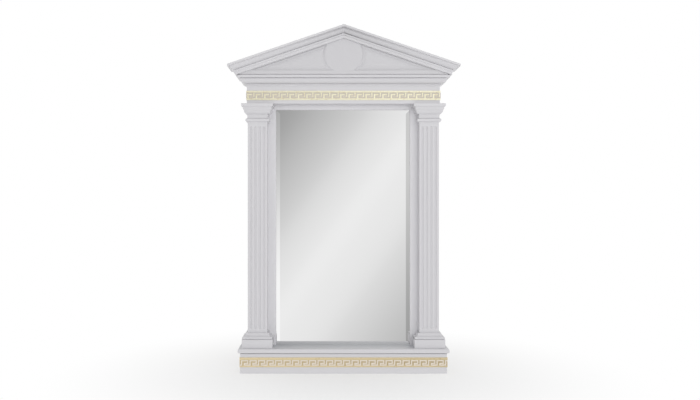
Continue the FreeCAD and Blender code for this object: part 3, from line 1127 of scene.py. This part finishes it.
@dataclass
class BackFittings:
    """The screws of the hangers and the felt pads.

    The dome gives each ring of a screw's head as a share of its radius and of its height.
    """

    head_radius: float = 4.0 * MM
    head_height: float = 2.2 * MM
    head_sides: int = 24
    dome: tuple[Span, ...] = ((1.0, 0.25), (0.93, 0.55), (0.78, 0.82), (0.6, 0.97))
    recess: float = 1.9 * MM
    web: float = 0.75 * MM
    recess_taper: float = 0.7
    recess_floor: float = 0.35
    arm_limit: float = 0.96
    pad_round: float = 1.2 * MM
    pad_faces: int = 3

    def build(self, shop: Workshop) -> None:
        """Make the screw heads and the pads.

        Args:
            shop: The workshop.
        """
        self.heads(shop)
        self.pads(shop)

    def heads(self, shop: Workshop) -> None:
        """Turn a domed head with a cross recess for each screw.

        Args:
            shop: The workshop.
        """
        low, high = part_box("hanger_screws")
        mesh = bmesh.new()
        for side in Side:
            for z in (low.z + self.head_radius, high.z - self.head_radius):
                x = side.value * (high.x - self.head_radius)
                self.head(mesh, Vector((x, high.y - self.head_height, z)))
        bmesh.ops.recalc_face_normals(mesh, faces=mesh.faces[:])
        piece = shop.place("screw_heads", mesh, ZincPlate)
        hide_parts("hanger_screws")

    def head(self, mesh: Mesh, foot: Vector) -> None:
        """Add one head to a mesh.

        Args:
            mesh: Mesh that gets the head.
            foot: Middle of the head's underside.
        """
        turn = Matrix.Translation(foot) @ Matrix.Rotation(-QUARTER_TURN, 4, "X")
        made = bmesh.ops.create_circle(
            mesh, cap_ends=True, segments=self.head_sides, radius=self.head_radius, matrix=turn
        )
        edges = list(dict.fromkeys(edge for vert in made["verts"] for edge in vert.link_edges))
        for share, rise in self.dome:
            radius = share * self.head_radius
            edges = self.ring(mesh, edges, foot, rise, (radius, radius))
        for rise, taper in ((1.0, 1.0), (self.recess_floor, self.recess_taper)):
            edges = self.ring(mesh, edges, foot, rise, (taper * self.recess, taper * self.web))
        bmesh.ops.contextual_create(mesh, geom=edges)

    def ring(self, mesh: Mesh, edges: Edges, foot: Vector, rise: float, reach: Span) -> Edges:
        """Extrude a head's ring and set it out anew round the screw's axis.

        Args:
            mesh: Mesh of the head.
            edges: The ring.
            foot: Middle of the head's underside.
            rise: Share of the head's height at which the new ring lies.
            reach: The new ring's radius on the cross's arms, and between them.

        Returns:
            The new ring.
        """
        arm, web = reach
        level = foot + Vector((0.0, self.head_height * rise, 0.0))
        grown = bmesh.ops.extrude_edge_only(mesh, edges=edges)["geom"]
        for vert in verts_of(grown):
            out = Vector((vert.co.x - foot.x, 0.0, vert.co.z - foot.z)).normalized()
            on_arm = max(abs(out.x), abs(out.z)) > self.arm_limit
            vert.co = level + out * (arm if on_arm else web)
        return edges_of(grown)

    def pads(self, shop: Workshop) -> None:
        """Make the pads with soft edges.

        Args:
            shop: The workshop.
        """
        mesh = shop.merged("wall_felt_pads")
        shop.soften(mesh, mesh.edges[:], self.pad_round, self.pad_faces)
        piece = shop.place("felt_pads_soft", mesh, WoolFelt)
        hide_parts("wall_felt_pads")


@dataclass
class Studio:
    """A white studio: a floor, a soft lamp, a grey reflection card and the camera.

    The lens and the view's axis are in pixels of the photograph. The axis meets it left of its
    middle, so the camera is shifted by that much. The card's bands are the heights, or the
    distances from its middle, over which its light changes. Its stops give the grey that it
    shows, as an sRGB level, at a distance from the light ridge that crosses it aslant.
    """

    lens_px: float = 803.0
    image_width_px: float = 700.0
    axis_px: float = 320.4
    sensor: float = 36.0
    eye: Point = (-0.12, -4.2078, 0.9003)
    ambient: float = 0.69
    key_place: Point = (1.8, -9.0, 0.9)
    key_target: Point = (0.0, 0.0, 0.7)
    key_size: float = 4.0
    key_power: float = 262.0
    floor_half: float = 30.0
    floor_colour: str = "#F4F4F4"
    floor_reach: float = 1.6
    floor_glow: float = 0.42
    bounce: float = 0.52
    card_centre: Point = (0.0, -6.0, 0.5)
    card_half: float = 3.6
    slant: float = 0.73
    ridge: float = -0.21
    upper_band: Span = (2.1, 2.6)
    upper_step: float = 0.52
    left_band: Span = (-0.85, -1.1)
    right_band: Span = (1.1, 1.35)
    foot_band: Span = (-1.35, -0.98)
    foot_glow: float = 0.55
    head_band: Span = (2.9, 3.2)
    head_glow: float = 4.6
    side_fade: Span = (2.0, 3.4)
    foot_fade: Span = (-1.5, -3.0)
    ramp_reach: float = 3.0
    middle_stops: Stops = (
        (-2.4, 150), (-1.6, 180), (-0.8, 218), (-0.2, 240), (0.2, 242), (0.9, 227), (2.2, 183),
    )
    left_stops: Stops = ((-2.7, 176), (-1.8, 222), (-1.0, 255))
    right_stops: Stops = ((0.4, 209), (1.2, 204), (2.4, 168))

    def build(self) -> None:
        """Set up the studio."""
        self.world()
        self.floor()
        self.card()
        self.lamp()
        self.camera()

    def world(self) -> None:
        """Show white to the eye and to reflections, and light the object with a plain grey."""
        world = bpy.data.worlds.new("white_studio")
        bpy.context.scene.world = world
        world.use_nodes = True
        tree = world.node_tree
        tree.nodes.clear()
        path = add_node(tree, "LightPath", {}, {})
        seen = path.outputs["Is Camera Ray"]
        for ray in ("Is Glossy Ray", "Is Transmission Ray"):
            either = add_node(
                tree, "Math", {"operation": "MAXIMUM"}, {0: seen, 1: path.outputs[ray]}
            )
            seen = either.outputs[0]
        strength = add_node(tree, "Mix", {}, {0: seen, 2: self.ambient, 3: 1.0})
        back = add_node(tree, "Background", {}, {"Color": WHITE, "Strength": strength.outputs[0]})
        add_node(tree, "OutputWorld", {}, {"Surface": back.outputs[0]})

    def floor(self) -> None:
        """Lay a pale floor that keeps the object's shadow and fades to white."""
        mesh = bmesh.new()
        bmesh.ops.create_grid(mesh, x_segments=1, y_segments=1, size=self.floor_half)
        material, tree, place = new_tree("white_floor_sheet")
        scale = 1 / self.floor_reach
        inputs = {"Vector": place, "Scale": (scale, scale, 1.0)}
        near = add_node(tree, "Mapping", {}, inputs)
        reach = add_node(
            tree, "TexGradient", {"gradient_type": "SPHERICAL"}, {"Vector": near.outputs[0]}
        )
        fade = add_node(
            tree, "MapRange", EASED,
            {"Value": reach.outputs["Fac"], "To Min": 1.0, "To Max": self.floor_glow},
        )
        path = add_node(tree, "LightPath", {}, {})
        share = add_node(
            tree, "Mix", {}, {0: path.outputs["Is Camera Ray"], 2: self.bounce, 3: fade.outputs[0]}
        )
        sheet = add_node(tree, "BsdfDiffuse", {}, {"Color": linear(self.floor_colour)})
        self.fade_to_white(tree, sheet, share.outputs[0])
        self.prop("studio_floor", mesh, material).visible_glossy = False

    def card(self) -> None:
        """Hang a graded grey card behind the camera, which only reflections see.

        Its light ridge runs aslant, its side margins have greys of their own, and its upper
        margin repeats what is under it, because the bevels show the margins. Towards its edges
        it fades into the white round it.
        """
        mesh = bmesh.new()
        turn = Matrix.Translation(self.card_centre) @ Matrix.Rotation(QUARTER_TURN, 4, "X")
        bmesh.ops.create_grid(mesh, x_segments=1, y_segments=1, size=self.card_half, matrix=turn)
        material, tree, place = new_tree("grey_graded_card")
        axes = add_node(tree, "SeparateXYZ", {}, {0: place})
        across, height = axes.outputs["X"], axes.outputs["Z"]
        away = add_node(tree, "Math", {"operation": "ABSOLUTE"}, {0: across})
        rise = (-self.ridge, self.upper_step - self.ridge)
        changes = (
            (height, self.foot_band, (self.foot_glow, 1.0)),
            (height, self.head_band, (1.0, self.head_glow)),
            (height, self.upper_band, rise),
            (across, self.left_band, (0.0, 1.0)),
            (across, self.right_band, (0.0, 1.0)),
            (away.outputs[0], self.side_fade, (0.0, 1.0)),
            (height, self.foot_fade, (0.0, 1.0)),
        )
        eased = []
        for value, (start, end), (before, after) in changes:
            inputs = {"From Min": start, "From Max": end, "To Min": before, "To Max": after}
            node = add_node(tree, "MapRange", EASED, {"Value": value, **inputs})
            eased.append(node.outputs[0])
        foot, head, upper, left, right, aside, under = eased
        strength = add_node(tree, "Math", MULTIPLY, {0: foot, 1: head})
        grey = self.greys(tree, place, upper, left, right)
        glow = add_node(tree, "Emission", {}, {"Color": grey, "Strength": strength.outputs[0]})
        fade = add_node(tree, "Math", {"operation": "MAXIMUM"}, {0: aside, 1: under})
        self.fade_to_white(tree, glow, fade.outputs[0])
        card = self.prop("reflection_card", mesh, material)
        card.visible_camera = False
        card.visible_diffuse = False
        card.visible_shadow = False

    def greys(
        self, tree: Tree, place: Socket, upper: Socket, left: Socket, right: Socket
    ) -> Socket:
        """Grade the card.

        Args:
            tree: The card's node tree.
            place: Object coordinates.
            upper: Distance that the ridge moves at each height.
            left: Share of the left margin's grey.
            right: Share of the right margin's grey.

        Returns:
            The grey, linear.
        """
        along = add_node(
            tree, "VectorMath", {"operation": "DOT_PRODUCT"},
            {0: place, 1: (1.0, 0.0, -self.slant)},
        )
        off = add_node(tree, "Math", {"operation": "ADD"}, {0: along.outputs["Value"], 1: upper})
        grey = self.ramp(tree, off.outputs[0], self.middle_stops)
        for edge, stops in ((left, self.left_stops), (right, self.right_stops)):
            own = self.ramp(tree, off.outputs[0], stops)
            mix = add_node(tree, "Mix", RGBA, {0: edge, "A": grey, "B": own})
            grey = mix.outputs["Result"]
        return grey

    def ramp(self, tree: Tree, value: Socket, stops: Stops) -> Socket:
        """Turn a distance into a grey.

        Args:
            tree: The card's node tree.
            value: Socket with the distance.
            stops: Distances with the grey that shows there, as an sRGB level from 0 to 255.

        Returns:
            The grey, linear.
        """
        low, high = -self.ramp_reach, self.ramp_reach
        share = add_node(tree, "MapRange", {}, {"Value": value, "From Min": low, "From Max": high})
        node = add_node(tree, "ValToRGB", {}, {0: share.outputs[0]})
        node.color_ramp.interpolation = "CARDINAL"
        elements = node.color_ramp.elements
        while len(elements) < len(stops):
            elements.new(0.5)
        for element, (where, level) in zip(elements, stops):
            element.position = (where - low) / (high - low)
            element.color = linear("#" + 3 * f"{level:02X}")
        return node.outputs[0]

    def fade_to_white(self, tree: Tree, shader: bpy.types.Node, share: Socket) -> None:
        """Close a material of the studio with a shader that fades to plain white.

        Args:
            tree: The material's node tree.
            shader: Node of the shader.
            share: Socket with the share of white.
        """
        white = add_node(tree, "Emission", {}, {"Color": WHITE, "Strength": 1.0})
        mix = add_node(
            tree, "MixShader", {}, {0: share, 1: shader.outputs[0], 2: white.outputs[0]}
        )
        add_node(tree, "OutputMaterial", {}, {"Surface": mix.outputs[0]})

    def prop(self, name: str, mesh: Mesh, material: Material) -> bpy.types.Object:
        """Turn a bmesh into a piece of the studio.

        Args:
            name: The piece's name.
            mesh: Its shape, which is used up.
            material: Its material.

        Returns:
            The new piece.
        """
        thing = new_object(name, mesh, material)
        return thing

    def lamp(self) -> None:
        """Hang a square soft lamp that no reflection shows."""
        data = bpy.data.lights.new("key_softbox", "AREA")
        data.shape = "SQUARE"
        data.size = self.key_size
        data.energy = self.key_power
        lamp = bpy.data.objects.new("key_softbox", data)
        aim = Vector(self.key_target) - Vector(self.key_place)
        lamp.location = self.key_place
        lamp.rotation_euler = aim.to_track_quat("-Z", "Y").to_euler()
        lamp.visible_glossy = False
        bpy.context.scene.collection.objects.link(lamp)

    def camera(self) -> None:
        """Place the camera at the photograph's eye point, looking level at the wall."""
        data = bpy.data.cameras.new("camera")
        data.sensor_width = self.sensor
        data.lens = self.lens_px * self.sensor / self.image_width_px
        data.shift_x = 0.5 - self.axis_px / self.image_width_px
        camera = bpy.data.objects.new("camera", data)
        camera.location = self.eye
        camera.rotation_euler = (QUARTER_TURN, 0.0, 0.0)
        bpy.context.scene.collection.objects.link(camera)
        bpy.context.scene.camera = camera


def finishes() -> list[Finish]:
    """Choose the finishes and fit them to the frame.

    Returns:
        Every finish that the pieces use.
    """
    wall_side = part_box("frame_head_rail")[1].y
    ground = tuple(corner.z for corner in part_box("plinth_key_fret"))
    dust_run = (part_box("ledge")[0].y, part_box("mirror_glass")[0].y)
    lacquers = (SatinLacquer, FrameLacquer, TympanumLacquer, StoneLacquer, PaleStoneLacquer)
    return [
        *(lacquer(wall_side=wall_side) for lacquer in lacquers),
        DustyLacquer(wall_side=wall_side, dust_run=dust_run),
        GoldLeaf(),
        ToneWashedLeaf(ground=ground),
        SilveredGlass(),
        Hardboard(),
        BareBoard(),
        ZincPlate(),
        WoolFelt(),
        SettingRubber(),
    ]


def main() -> None:
    """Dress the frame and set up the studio."""
    logging.basicConfig(level=logging.INFO, format="%(message)s")
    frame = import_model()
    bpy.context.scene.view_settings.view_transform = "Standard"
    shop = Workshop(frame["nodes"])
    shop.stock(*finishes())
    parts = [Plinth(), *(Pilaster(side) for side in Side), GlassOpening(), Frieze(), Pediment()]
    parts += [*(Hanger(side) for side in Side), BackFittings()]
    for part in parts:
        part.build(shop)
    Studio().build()


if __name__ == "__main__":
    main()
